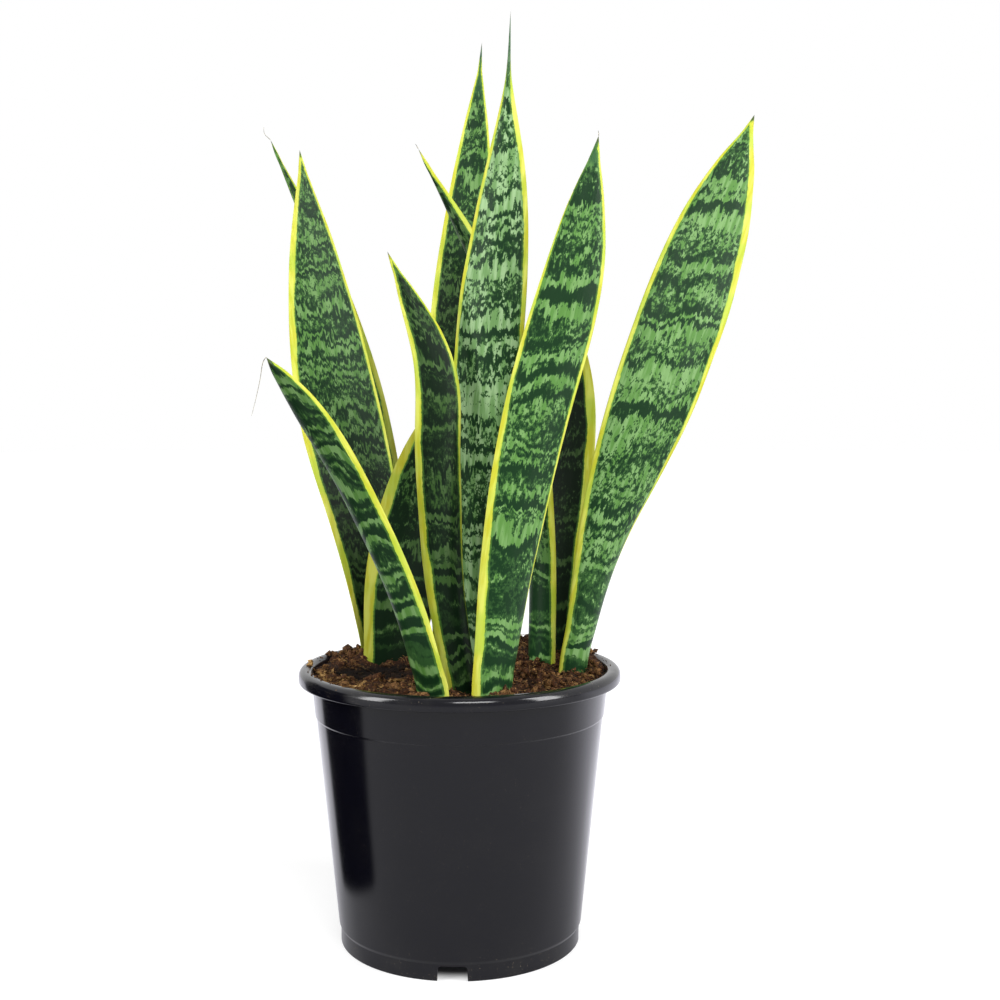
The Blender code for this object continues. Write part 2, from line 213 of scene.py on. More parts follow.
class Graph:
    """Adds nodes to one tree, and feeds their sockets with values or with other sockets."""

    def __init__(self, tree):
        self.tree = tree

    def feed(self, socket, value):
        if isinstance(value, bpy.types.NodeSocket):
            self.tree.links.new(value, socket)
        else:
            socket.default_value = value

    def add(self, kind, inputs=None, **settings):
        node = self.tree.nodes.new("ShaderNode" + kind)
        for name, value in settings.items():
            setattr(node, name, value)
        for name, value in (inputs or {}).items():
            self.feed(node.inputs[name], value)
        return node

    def math(self, operation, first, second=0.0, third=0.0):
        node = self.add("Math", operation=operation)
        for socket, value in zip(node.inputs, (first, second, third)):
            self.feed(socket, value)
        return node.outputs["Value"]

    def plus(self, first, second):
        return self.math("ADD", first, second)

    def minus(self, first, second):
        return self.math("SUBTRACT", first, second)

    def times(self, first, second):
        return self.math("MULTIPLY", first, second)

    def over(self, first, second):
        return self.math("DIVIDE", first, second)

    def times_plus(self, first, second, third):
        return self.math("MULTIPLY_ADD", first, second, third)

    def split(self, vector):
        node = self.add("SeparateXYZ", {"Vector": vector})
        return node.outputs["X"], node.outputs["Y"], node.outputs["Z"]

    def join(self, x, y, z):
        return self.add("CombineXYZ", {"X": x, "Y": y, "Z": z}).outputs["Vector"]

    def stretched(self, vector, x, y, z):
        """The vector divided by a feature size along each axis."""
        node = self.add("VectorMath", operation="MULTIPLY")
        self.feed(node.inputs[0], vector)
        node.inputs[1].default_value = (1 / x, 1 / y, 1 / z)
        return node.outputs["Vector"]

    def noise(self, vector, scale=1.0, detail=2.0, roughness=0.5):
        inputs = {"Vector": vector, "Scale": scale, "Detail": detail, "Roughness": roughness}
        return self.add("TexNoise", inputs).outputs["Fac"]

    def line_noise(self, value, detail=1.0):
        """Noise along one line."""
        inputs = {"W": value, "Scale": 1.0, "Detail": detail}
        return self.add("TexNoise", inputs, noise_dimensions="1D").outputs["Fac"]

    def step(self, value, low, high):
        """Rises smoothly from 0 at low to 1 at high."""
        inputs = {"Value": value, "From Min": low, "From Max": high}
        return self.add("MapRange", inputs, interpolation_type="SMOOTHSTEP").outputs["Result"]

    def span(self, value, low, high):
        """Turns a mask from 0 to 1 into a value from low to high."""
        inputs = {"Value": value, "To Min": low, "To Max": high}
        return self.add("MapRange", inputs).outputs["Result"]

    def mix(self, mask, first, second):
        node = self.add("Mix", data_type="RGBA", clamp_factor=True)
        colors = [socket for socket in node.inputs if socket.type == "RGBA"]
        self.feed(node.inputs["Factor"], mask)
        self.feed(colors[0], first)
        self.feed(colors[1], second)
        return [socket for socket in node.outputs if socket.type == "RGBA"][0]

    def attribute(self, name):
        return self.add("Attribute", attribute_name=name).outputs["Vector"]

    def place(self):
        return self.add("TexCoord").outputs["Object"]

    def bump(self, height, strength, distance):
        inputs = {"Height": height, "Strength": strength, "Distance": distance}
        return self.add("Bump", inputs).outputs["Normal"]


def color(text):
    """A linear colour from a six-digit web colour."""
    channels = [int(text[index:index + 2], 16) / 255 for index in (0, 2, 4)]
    linear = [c / 12.92 if c <= 0.04045 else ((c + 0.055) / 1.055) ** 2.4 for c in channels]
    return (*linear, 1.0)


def new_group(name, inputs, outputs):
    """A node group, with a vector input for None and a float input for a number. Its outputs are
    floats. Returns its graph and its inside sockets."""
    tree = bpy.data.node_groups.new(name, "ShaderNodeTree")
    for label, value in inputs.items():
        kind = "NodeSocketVector" if value is None else "NodeSocketFloat"
        socket = tree.interface.new_socket(label, in_out="INPUT", socket_type=kind)
        if value is not None:
            socket.default_value = value
    for label in outputs:
        tree.interface.new_socket(label, in_out="OUTPUT", socket_type="NodeSocketFloat")
    source = tree.nodes.new("NodeGroupInput")
    sink = tree.nodes.new("NodeGroupOutput")
    return Graph(tree), source.outputs, sink.inputs


def use_group(graph, name, inputs):
    node = graph.add("Group", node_tree=bpy.data.node_groups[name])
    for label, value in inputs.items():
        graph.feed(node.inputs[label], value)
    return node.outputs


def new_material(name, **shader_values):
    """A material with a Principled BSDF whose even values are set on its own sockets."""
    material = bpy.data.materials.new(name)
    material.use_nodes = True
    shader = material.node_tree.nodes["Principled BSDF"]
    for label, value in shader_values.items():
        shader.inputs[label.replace("_", " ")].default_value = value
    return material, Graph(material.node_tree), shader.inputs


# Effects that several materials share

def make_band_group():
    """Cross-bands with jagged, streaked edges: 0 on the dark green, up to 1 on the pale bands."""
    graph, given, out = new_group(
        "jagged_bands", {"Place": None, "Band Length": 9.0, "Jaggedness": 1.0, "Mottle": 0.3},
        ("Bands", "Blotches"))
    place = given["Place"]
    across, along, side = graph.split(place)
    coarse = graph.noise(graph.stretched(place, 2.2, 17.0, 9.0), detail=2.0)
    fine = graph.noise(graph.stretched(place, 0.9, 6.0, 5.0), detail=1.0)
    broad = graph.noise(graph.stretched(place, 17.0, 26.0, 30.0), detail=1.0)
    coarse = graph.times_plus(coarse, 15.0, -7.5)
    fine = graph.times_plus(fine, 7.0, -3.5)
    broad = graph.times_plus(broad, 26.0, -13.0)
    teeth = graph.times(graph.plus(coarse, fine), given["Jaggedness"])
    shifted = graph.plus(graph.plus(along, broad), teeth)
    bands = graph.line_noise(graph.over(shifted, given["Band Length"]), detail=1.6)
    sweep = graph.noise(graph.stretched(place, 40.0, 34.0, 60.0), detail=1.0)
    bands = graph.plus(bands, graph.times_plus(sweep, 0.3, -0.15))
    blotches = graph.noise(graph.stretched(place, 1.9, 3.0, 8.0), detail=3.0, roughness=0.6)
    spread = graph.times(graph.minus(blotches, 0.5), given["Mottle"])
    graph.feed(out["Bands"], graph.plus(bands, spread))
    graph.feed(out["Blotches"], blotches)


def make_margin_group():
    """How much of a leaf's margin lies here: 1 at the edge, 0 past a slightly uneven width."""
    graph, given, out = new_group(
        "leaf_margin",
        {"Along": 0.0, "Gap": 0.0, "Tip Gap": 100.0, "Green Tip": 10.0, "Width": 4.0},
        ("Mask", "Seam", "Lining"))
    slow = graph.line_noise(graph.over(given["Along"], 24.0))
    quick = graph.line_noise(graph.over(given["Along"], 2.6), detail=2.0)
    share = graph.span(slow, 0.8, 1.2)
    fade = graph.step(graph.over(given["Tip Gap"], given["Green Tip"]), 0.5, 1.9)
    taper = graph.span(graph.step(given["Tip Gap"], 0.0, 85.0), 0.5, 1.0)
    width = graph.times(graph.times(given["Width"], share), fade)
    width = graph.times(width, taper)
    wander = graph.times_plus(quick, 0.7, -0.35)
    depth = graph.minus(graph.plus(width, wander), given["Gap"])
    graph.feed(out["Mask"], graph.step(depth, -0.15, 0.2))
    graph.feed(out["Lining"], graph.minus(1.0, graph.step(depth, 0.2, 1.5)))
    near = graph.math("ABSOLUTE", graph.plus(depth, 0.4))
    graph.feed(out["Seam"], graph.minus(1.0, graph.step(near, 0.1, 0.9)))


def make_grain_group():
    """Streaks that run along a leaf: fine ridges, and broader stripes of tone."""
    graph, given, out = new_group("leaf_grain", {"Place": None}, ("Ridges", "Stripes"))
    ridges = graph.noise(graph.stretched(given["Place"], 0.42, 34.0, 6.0), detail=2.0)
    stripes = graph.noise(graph.stretched(given["Place"], 3.0, 24.0, 20.0), detail=3.0)
    graph.feed(out["Ridges"], ridges)
    graph.feed(out["Stripes"], stripes)


def make_crumb_group():
    """Crumbly earth: three sizes of grain, as one tone from dark to light and as a height."""
    graph, given, out = new_group(
        "crumbs", {"Place": None, "Grain": 1.0}, ("Tone", "Fleck", "Height"))
    scale = graph.over(1.0, given["Grain"])
    large = graph.noise(given["Place"], graph.times(scale, 160.0), 3.0, 0.6)
    small = graph.noise(given["Place"], graph.times(scale, 900.0), 4.0, 0.65)
    flecks = graph.noise(given["Place"], graph.times(scale, 420.0), 2.0, 0.5)
    tone = graph.times_plus(small, 0.5, graph.times(large, 0.5))
    graph.feed(out["Tone"], tone)
    graph.feed(out["Fleck"], graph.step(flecks, 0.6, 0.72))
    graph.feed(out["Height"], small)


def make_dust_group():
    """Fine pale dust and tiny specks that settle on a surface."""
    graph, given, out = new_group("dust", {"Place": None, "Amount": 0.5}, ("Haze", "Specks"))
    haze = graph.noise(given["Place"], 45.0, 5.0, 0.65)
    specks = graph.noise(given["Place"], 1400.0, 1.0, 0.5)
    low = graph.minus(0.82, graph.times(given["Amount"], 0.1))
    mask = graph.step(specks, low, graph.plus(low, 0.04))
    patch = graph.step(haze, 0.42, 0.7)
    graph.feed(out["Haze"], graph.times(patch, given["Amount"]))
    graph.feed(out["Specks"], graph.times(mask, graph.step(haze, 0.35, 0.6)))


# Materials

@dataclass
class LeafLook:
    """A leaf's own colouring, with painted shade. Lengths are in millimetres. A margin has its width
    at the base and near the tip. The green tip has no margins, and the plain tip has no bands. Depth
    is painted shade: how much of the green's brightness is kept at the start and the end of its
    span, from 0, which is black, to 1. The margins get a painted shade of their own."""

    left_margin: tuple = (4.0, 3.0)
    right_margin: tuple = (4.0, 3.0)
    green_tip: float = 4.0
    band_length: float = 9.0
    paleness: float = 0.0
    jaggedness: float = 1.0
    mottle: float = 0.8
    # Painted shade along the leaf, and on its margins.
    depth: tuple = (1.0, 1.0)
    painted_shade_span: tuple = (0.0, 1.0)
    margin_painted_shade: float = 1.0
    plain_tip: float = 0.0
    pale: str = "5f8f45"
    palest: str = "7da764"


# Depth and its span paint shade on the leaves that stand behind or under others.
LEAF_LOOKS = {
    "front_left_leaf": LeafLook(
        (0.3, 0.6), (2.8, 3.6), band_length=6.5, jaggedness=0.45, mottle=0.4, depth=(0.8, 0.62),
        pale="5a8a3e"),
    "front_right_leaf": LeafLook(
        (6.0, -0.8), (1.3, 3.0), band_length=8.5, paleness=-0.01, plain_tip=18.0),
    "centre_left_leaf": LeafLook(
        (4.8, 2.4), (2.0, 2.2), green_tip=2.0, band_length=6.0, paleness=-0.02, mottle=0.5,
        depth=(0.42, 0.36), painted_shade_span=(0.0, 0.5)),
    "tall_centre_leaf": LeafLook(
        (3.6, 2.0), (2.0, 3.2), green_tip=35.0, band_length=7.5, paleness=0.04, depth=(0.95, 1.0),
        painted_shade_span=(0.2, 0.5), pale="749f5f", palest="a3c690"),
    "right_leaf": LeafLook(
        (3.0, 2.6), (1.6, 6.4), band_length=8.0, paleness=0.02, palest="84ad6c"),
    "curved_leaf": LeafLook(
        (0.4, -0.6), (3.0, 3.2), green_tip=2.0, paleness=-0.02,
        depth=(1.0, 0.5), painted_shade_span=(0.05, 0.3)),
    "back_right_leaf": LeafLook(
        (4.0, 3.0), (5.0, 7.0), paleness=-0.06, depth=(0.2, 0.28)),
    "short_back_leaf": LeafLook(
        (7.4, 6.0), (2.4, 2.4), paleness=-0.06, depth=(0.35, 0.4),
        margin_painted_shade=0.6),
    "left_leaf": LeafLook(
        (3.8, 4.6), (2.0, 1.8), band_length=5.5, mottle=0.7, depth=(0.22, 0.88),
        painted_shade_span=(0.2, 0.6)),
    "back_left_leaf": LeafLook((3.0, -0.8), (5.0, 0.8), depth=(0.8, 0.8)),
    "tall_back_leaf": LeafLook(
        (6.0, 0.8), (4.0, 0.8), green_tip=12.0, band_length=6.5, depth=(0.3, 0.9),
        painted_shade_span=(0.5, 0.72), plain_tip=40.0),
}

LEAF_DARK = color("133218")
LEAF_MID = color("31562a")
MARGIN_DEEP = color("c2c034")
MARGIN_BRIGHT = color("d6da62")
MARGIN_GREEN = color("a3c03a")
LEAF_SEAM = color("5f9038")
NEEDLE = color("3d5946")
PLAIN_TIP = color("2a5233")
DRY_TIP = color("4c452f")
LONG_NEEDLE = 10.0
BLACK = color("000000")


def leaf_material(name, look, number, length):
    material, graph, shader = new_material(name, Specular_IOR_Level=0.13)
    across, along, side = graph.split(graph.attribute("leaf_place"))
    left_gap, right_gap, tip_gap = graph.split(graph.attribute("leaf_gaps"))
    own_along = graph.plus(along, PATTERN_SPACING * (number + 1))
    place = graph.join(across, own_along, side)
    share = graph.over(along, length)

    grip = graph.step(along, 10.0, 110.0)
    bands = use_group(graph, "jagged_bands", {
        "Place": place,
        "Band Length": look.band_length,
        "Jaggedness": graph.times(graph.span(grip, 0.4, 1.0), look.jaggedness),
        "Mottle": graph.times(graph.span(grip, 0.35, 1.0), look.mottle),
    })
    grain = use_group(graph, "leaf_grain", {"Place": place})
    level = graph.plus(bands["Bands"], look.paleness)
    mid = graph.step(level, 0.42, 0.5)
    pale = graph.step(level, 0.52, 0.58)
    pale_tone = graph.mix(
        graph.step(grain["Stripes"], 0.4, 0.62), color(look.pale), color(look.palest))
    green = graph.mix(pale, graph.mix(mid, LEAF_DARK, LEAF_MID), pale_tone)
    green = graph.mix(graph.span(grain["Ridges"], 0.0, 0.35), green, LEAF_DARK)
    if look.plain_tip:
        plain = graph.step(graph.over(tip_gap, look.plain_tip), 1.15, 0.75)
        green = graph.mix(graph.times(plain, 0.85), green, PLAIN_TIP)
    # Painted shade: the green darkens towards black along the span, where other leaves shade this
    # one.
    depth = graph.span(graph.step(share, *look.painted_shade_span), *look.depth)
    green = graph.mix(depth, BLACK, green)

    base_taper = graph.span(graph.step(along, 0.0, 60.0), 0.75, 1.0)
    margins = [
        use_group(graph, "leaf_margin", {
            "Along": graph.plus(own_along, offset),
            "Gap": gap,
            "Tip Gap": tip_gap,
            "Green Tip": look.green_tip,
            "Width": graph.times(base_taper, graph.span(share, *widths)),
        })
        for gap, widths, offset in (
            (left_gap, look.left_margin, 0.0), (right_gap, look.right_margin, MARGIN_SPACING))
    ]
    mask = graph.math("MAXIMUM", margins[0]["Mask"], margins[1]["Mask"])
    seam = graph.math("MAXIMUM", margins[0]["Seam"], margins[1]["Seam"])
    yellow = graph.mix(graph.step(grain["Stripes"], 0.35, 0.65), MARGIN_DEEP, MARGIN_BRIGHT)
    drift = graph.step(graph.line_noise(graph.over(own_along, 28.0)), 0.45, 0.7)
    yellow = graph.mix(graph.times(drift, 0.55), yellow, MARGIN_GREEN)
    lining = graph.math("MINIMUM", margins[0]["Lining"], margins[1]["Lining"])
    lining = graph.times(lining, graph.step(grain["Ridges"], 0.38, 0.6))
    yellow = graph.mix(graph.times(lining, 0.7), yellow, MARGIN_GREEN)
    # Painted shade on the margins: the yellow is darkened towards black.
    yellow = graph.mix(look.margin_painted_shade, BLACK, yellow)
    surface = graph.mix(graph.times(seam, 0.4), green, LEAF_SEAM)
    surface = graph.mix(mask, surface, yellow)
    if look.green_tip > LONG_NEEDLE:
        needle = graph.step(graph.over(tip_gap, look.green_tip), 1.3, 0.7)
        surface = graph.mix(graph.times(needle, 0.8), surface, NEEDLE)
    tip = graph.step(tip_gap, 7.0, 1.0)
    surface = graph.mix(graph.times(tip, 0.7), surface, DRY_TIP)
    graph.feed(shader["Base Color"], surface)
    graph.feed(shader["Roughness"], graph.span(bands["Blotches"], 0.36, 0.52))
    height = graph.times_plus(grain["Stripes"], 2.0, grain["Ridges"])
    graph.feed(shader["Normal"], graph.bump(height, 0.35, 0.25 * MM))
    return material


def pot_material(pot_top):
    material, graph, shader = new_material("pot_plastic", Specular_IOR_Level=0.5)
    place = graph.place()
    x, y, z = graph.split(place)
    dust = use_group(graph, "dust", {"Place": place, "Amount": 0.9})
    rim = graph.step(z, pot_top - 9 * MM, pot_top - 1 * MM)
    foot = graph.minus(1.0, graph.step(z, 0.0, 22 * MM))
    exposed = graph.math("MAXIMUM", rim, foot)
    haze = graph.times(dust["Haze"], graph.span(exposed, 0.08, 0.5))
    charcoal = graph.mix(haze, color("06060e"), color("22211f"))
    specks = graph.times(dust["Specks"], graph.span(exposed, 0.15, 1.0))
    charcoal = graph.mix(specks, charcoal, color("8a7d6c"))
    graph.feed(shader["Base Color"], charcoal)
    smear = graph.noise(graph.stretched(place, 0.05, 0.05, 0.012), detail=4.0, roughness=0.6)
    gloss = graph.times_plus(haze, 0.2, graph.span(smear, 0.11, 0.17))
    graph.feed(shader["Roughness"], gloss)
    flow = graph.noise(graph.stretched(place, 0.03, 0.03, 0.1), detail=1.0)
    grain = graph.noise(place, 2500.0, 2.0)
    height = graph.times_plus(grain, 0.004, flow)
    graph.feed(shader["Normal"], graph.bump(height, 0.25, 1.2 * MM))
    return material


def earth_material(name, grain, dark, middle, light, fleck, plane=None):
    """Crumbly, dull matter in four tones, with painted shade in the hollows below a plane and in the
    low spots of its grain. A piece's own tint, where it has one, turns it towards the light tones."""
    material, graph, shader = new_material(name, Specular_IOR_Level=0.2)
    place = graph.place()
    crumbs = use_group(graph, "crumbs", {"Place": place, "Grain": grain})
    tone = graph.mix(graph.step(crumbs["Tone"], 0.36, 0.52), color(dark), color(middle))
    tone = graph.mix(graph.step(crumbs["Tone"], 0.54, 0.66), tone, color(light))
    tone = graph.mix(crumbs["Fleck"], tone, color(fleck))
    tint = graph.add("Attribute", attribute_name="tint").outputs["Fac"]
    bright = graph.mix(graph.step(crumbs["Tone"], 0.4, 0.6), color(light), color(fleck))
    tone = graph.mix(tint, tone, bright)
    # Painted shade: the deeper the surface lies below the plane, the darker it is painted.
    if plane is not None:
        x, y, z = graph.split(place)
        slope = graph.times_plus(x, plane[1], graph.times(y, plane[2]))
        level = graph.minus(graph.minus(z, slope), plane[0])
        tone = graph.mix(graph.span(graph.step(level, -4.5 * MM, 0.5 * MM), 0.1, 1.0), BLACK, tone)
    # Painted shade in the low spots of the grain, where the bump height is low.
    crevice_shade = graph.span(graph.step(crumbs["Height"], 0.36, 0.56), 0.3, 1.0)
    tone = graph.mix(crevice_shade, BLACK, tone)
    graph.feed(shader["Base Color"], tone)
    graph.feed(shader["Roughness"], graph.span(crumbs["Height"], 0.7, 0.95))
    graph.feed(shader["Normal"], graph.bump(crumbs["Height"], 0.8, 0.6 * MM * grain))
    return material


# Meshes

def linked(name, data):
    """Puts an object with this data into the scene."""
    thing = bpy.data.objects.new(name, data)
    bpy.context.scene.collection.objects.link(thing)
    return thing


def mesh_from(name, bm):
    mesh = bpy.data.meshes.new(name)
    bm.to_mesh(mesh)
    bm.free()
    return mesh


def evaluated_mesh(thing):
    """A mesh of what an object looks like, such as after its modifiers."""
    bpy.context.view_layer.update()
    shown = thing.evaluated_get(bpy.context.evaluated_depsgraph_get())
    return bpy.data.meshes.new_from_object(shown)


def weld(bm):
    bmesh.ops.remove_doubles(bm, verts=bm.verts, dist=WELD)


def finished(name, bm, material, slot, *nodes):
    """Turns a bmesh into a piece that rides on the plant and stands for the given nodes."""
    bmesh.ops.recalc_face_normals(bm, faces=bm.faces)
    mesh = mesh_from(name, bm)
    mesh.materials.append(material)
    mesh.shade_smooth()
    piece = linked(name, mesh)
    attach(piece, BODY)
    if nodes:
        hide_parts(*nodes)
    return piece


def new_rail(profile):
    """A bmesh with a chain of edges through (radius, height) points, and its points."""
    bm = bmesh.new()
    rail = [bm.verts.new((radius, 0.0, height)) for radius, height in profile]
    for pair in zip(rail, rail[1:]):
        bm.edges.new(pair)
    return bm, rail


def spin(bm, steps):
    """Spins a rail about the pot's axis."""
    bmesh.ops.spin(
        bm, geom=bm.verts[:] + bm.edges[:], cent=(0, 0, 0), axis=(0, 0, 1), angle=math.tau,
        steps=steps, use_merge=True)
    weld(bm)
    bmesh.ops.translate(bm, verts=bm.verts, vec=pot_centre())


# Leaves

def level_cut(solid, height):
    """The edges where a level plane cuts a solid, as pairs of points."""
    bm = solid.copy()
    found = bmesh.ops.bisect_plane(
        bm, geom=bm.verts[:] + bm.edges[:] + bm.faces[:], plane_co=(0, 0, height),
        plane_no=(0, 0, 1), clear_inner=True, clear_outer=True)
    edges = [part for part in found["geom_cut"] if isinstance(part, bmesh.types.BMEdge)]
    pairs = [(edge.verts[0].co.copy(), edge.verts[1].co.copy()) for edge in edges]
    bm.free()
    return pairs


@dataclass
class Section:
    """A leaf's cross-section: its two edges, and the middles of its outer and inner faces."""

    left: Vector
    right: Vector
    outer: Vector
    inner: Vector


def read_section(solid, height, last_chord):
    pairs = level_cut(solid, height)
    points = [point for pair in pairs for point in pair]
    left, right = max(
        ((a, b) for a in points for b in points), key=lambda pair: (pair[0] - pair[1]).length)
    if last_chord is not None and (right - left).dot(last_chord) < 0:
        left, right = right, left
    chord = right - left
    middle = (left + right) / 2
    crossings = []
    for a, b in pairs:
        before, after = (a - middle).dot(chord), (b - middle).dot(chord)
        if (before < 0) != (after < 0):
            crossings.append(a.lerp(b, before / (before - after)))
    crossings.sort(key=lambda point: (point - middle).length)
    return Section(left, right, crossings[-1], crossings[0])


def spline(values, position):
    """A smooth curve through evenly numbered values."""
    last = len(values) - 1
    index = min(max(int(position), 0), last - 1)
    local = position - index
    a, b = values[index], values[index + 1]
    before = values[index - 1] if index else a * 2 - b
    after = values[index + 2] if index + 2 <= last else b * 2 - a
    return (
        a * 2
        + (b - before) * local
        + (before * 2 - a * 5 + b * 4 - after) * local**2
        + (a * 3 - before - b * 3 + after) * local**3
    ) / 2


class LeafForm:
    """A leaf's smooth form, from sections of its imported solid."""

    def __init__(self, node):
        solid = bmesh.new()
        solid.from_mesh(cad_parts[node].data)
        weld(solid)
        low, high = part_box(node)
        self.length = high[2] - low[2] - FIRST_SECTION
        sections = []
        for index in range(LEAF_SECTIONS):
            share = self.share(index) * LAST_SHARE
            last_chord = sections[-1].right - sections[-1].left if sections else None
            height = low[2] + FIRST_SECTION + share * self.length
            sections.append(read_section(solid, height, last_chord))
        middle = sections[LEAF_SECTIONS // 2]
        if middle.left.x > middle.right.x:
            for section in sections:
                section.left, section.right = section.right, section.left
        tip = max((vert.co for vert in solid.verts), key=lambda point: point.z).copy()
        solid.free()
        self.left = [section.left for section in sections] + [tip]
        self.right = [section.right for section in sections] + [tip]
        self.sag = [self.bow(section) for section in sections] + [Vector((0, 0, 0))]
        self.thickness = [(section.outer - section.inner).length for section in sections] + [0.0]
        self.tip = tip

    @staticmethod
    def share(index):
        """Where a section lies up the leaf: closer together towards the tip."""
        return 1 - (1 - index / LEAF_SECTIONS) ** SECTION_CROWDING

    @staticmethod
    def bow(section):
        return (section.outer + section.inner) / 2 - (section.left + section.right) / 2

    def point(self, position, spot, side, wave):
        """A point on the leaf: spot runs from -1 at the left edge to 1 at the right."""
        left = spline(self.left, position)
        right = spline(self.right, position)
        bow = spline(self.sag, position)
        half_chord = (right - left) / 2
        depth = max(bow.length, 1e-7)
        half_width = max(half_chord.length, 1e-7)
        radius = (half_width**2 + depth**2) / (2 * depth)
        reach = math.asin(min(half_width / radius, 1.0))
        if depth > half_width:
            reach = math.pi - reach
        outward = bow / depth
        along_chord = half_chord / half_width
        pivot = (left + right) / 2 + outward * (depth - radius)
        angle = spot * reach
        direction = along_chord * math.sin(angle) + outward * math.cos(angle)
        rounding = (1 - abs(spot) ** EDGE_ROUNDING) ** 0.5
        fullness = EDGE_FULLNESS + (1 - EDGE_FULLNESS) * (1 - spot**2)
        half = spline(self.thickness, position) / 2 * fullness * rounding
        return pivot + direction * (radius + side * half + wave * spot * spot)


def make_leaf(node, look, number):
    form = LeafForm(node)
    bm = bmesh.new()
    bmesh.ops.create_grid(bm, x_segments=LEAF_SIDES, y_segments=LEAF_STEPS, size=0.5)
    place = bm.verts.layers.float_vector.new("leaf_place")
    gaps = bm.verts.layers.float_vector.new("leaf_gaps")
    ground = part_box("potting_mix")[1][2]
    for vert in bm.verts:
        turn = math.tau * (vert.co.x + 0.5)
        position = (vert.co.y + 0.5) * LEAF_SECTIONS
        spot, side = -math.cos(turn), math.sin(turn)
        along = form.length * position / LEAF_SECTIONS
        lean = noise.noise(Vector((along / WAVE_LENGTH, spot, number * WAVE_SPACING)))
        fade = min(1.0, (LEAF_SECTIONS - position) / WAVE_FADE[1])
        fade *= min(1.0, position / WAVE_FADE[0])
        side_sign = 1 if side >= 0 else -1
        vert.co = form.point(position, spot, side_sign, WAVE_HEIGHT * lean * fade)
        half_width = (spline(form.right, position) - spline(form.left, position)).length / 2
        vert[place] = Vector((spot * half_width, vert.co.z - ground, side * 4 * MM)) / MM
        tip_gap = (vert.co - form.tip).length
        vert[gaps] = Vector(((1 + spot) * half_width, (1 - spot) * half_width, tip_gap)) / MM
    weld(bm)
    bmesh.ops.holes_fill(bm, edges=[edge for edge in bm.edges if edge.is_boundary])
    skin = leaf_material(node, look, number, form.length / MM)
    finished(node + "_blade", bm, skin, "leaf", node)


# Pot

def pot_centre():
    low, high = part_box("pot")
    return Vector(((low[0] + high[0]) / 2, (low[1] + high[1]) / 2, 0.0))


def pot_height():
    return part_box("pot")[1][2]


def rim_radius():
    low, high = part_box("pot")
    return (high[0] - low[0]) / 2


def outer_radius(height):
    flare = rim_radius() - RIM_OVERHANG - FOOT_RADIUS
    return FOOT_RADIUS + flare * height / pot_height()


def inner_radius(height):
    collar = COLLAR_STEP if height > pot_height() - COLLAR_DROP else 0.0
    return outer_radius(height) + collar - WALL


def pot_profile():
    """The pot's corners as (radius, height, rounding)."""
    top = pot_height()
    rim = rim_radius()
    step = top - COLLAR_DROP
    under_rim = top - RIM_WALL
    foot_inside = FOOT_RADIUS - WALL
    skirt_inside = rim - RIM_WALL
    floor_top = FOOT_HEIGHT + FLOOR_THICKNESS
    fine = FINE_ROUNDING
    return [
        (0.0, FOOT_HEIGHT, 0.0),
        (foot_inside, FOOT_HEIGHT, fine),
        (foot_inside, 0.0, fine),
        (FOOT_RADIUS, 0.0, 0.7 * MM),
        (FOOT_RADIUS, FOOT_HEIGHT, fine / 2),
        (outer_radius(FOOT_HEIGHT) + FOOT_STEP, FOOT_HEIGHT + FOOT_SLOPE, fine),
        (outer_radius(step), step - COLLAR_STEP, fine),
        (outer_radius(step) + COLLAR_STEP, step, fine),
        (outer_radius(under_rim) + COLLAR_STEP, under_rim, fine),
        (skirt_inside, under_rim, fine),
        (skirt_inside, top - RIM_DROP, 0.5 * MM),
        (rim, top - RIM_DROP, 1.6 * MM),
        (rim, top, 4.2 * MM),
        (inner_radius(top), top, 3.4 * MM),
        (inner_radius(step + COLLAR_STEP), step + COLLAR_STEP, fine),
        (inner_radius(step), step, fine),
        (inner_radius(floor_top), floor_top, 1.0 * MM),
        (0.0, floor_top, 0.0),
    ]


def bevel(bm, parts, offset, affect):
    bmesh.ops.bevel(
        bm, geom=parts, offset=offset, offset_type="OFFSET", segments=CORNER_SEGMENTS,
        profile=0.5, affect=affect, material=-1)


def notch_cutter(degrees):
    bm = bmesh.new()
    bmesh.ops.create_cube(bm, size=1.0)
    height = FOOT_HEIGHT - NOTCH_ROOF
    for vert in bm.verts:
        above = vert.co.z > 0
        width = NOTCH_TOP_WIDTH if above else NOTCH_WIDTH
        reach = FOOT_RADIUS - WALL / 2 + vert.co.x * NOTCH_DEPTH
        vert.co = Vector((reach, vert.co.y * width, height if above else -height))
    upper = [edge for edge in bm.edges if all(vert.co.z > 0 for vert in edge.verts)]
    upper = [
        edge for edge in upper
        if abs(edge.verts[0].co.x - edge.verts[1].co.x) > NOTCH_DEPTH / 2]
    bevel(bm, upper, NOTCH_CORNER, "EDGES")
    return turned_copy(bm, degrees)


def hole_cutter(degrees):
    bm = bmesh.new()
    bmesh.ops.create_cone(
        bm, cap_ends=True, segments=32, radius1=DRAIN_HOLE_RADIUS, radius2=DRAIN_HOLE_RADIUS,
        depth=4 * FLOOR_THICKNESS)
    middle = FOOT_HEIGHT + FLOOR_THICKNESS / 2
    bmesh.ops.translate(bm, verts=bm.verts, vec=(DRAIN_RING_RADIUS, 0, middle))
    return turned_copy(bm, degrees)


def turned_copy(bm, degrees):
    """Turns a cutter about the pot's axis and makes it an object."""
    bmesh.ops.rotate(bm, verts=bm.verts, matrix=Matrix.Rotation(math.radians(degrees), 3, "Z"))
    bmesh.ops.translate(bm, verts=bm.verts, vec=pot_centre())
    return linked("cutter", mesh_from("cutter", bm))


def carve(piece, cutters):
    """Cuts the cutters out of a piece for good, and removes them."""
    for cutter in cutters:
        boolean = piece.modifiers.new("cut", "BOOLEAN")
        boolean.operation = "DIFFERENCE"
        boolean.solver = "EXACT"
        boolean.object = cutter
    mesh = evaluated_mesh(piece)
    piece.modifiers.clear()
    piece.data = mesh
    for cutter in cutters:
        bpy.data.objects.remove(cutter)


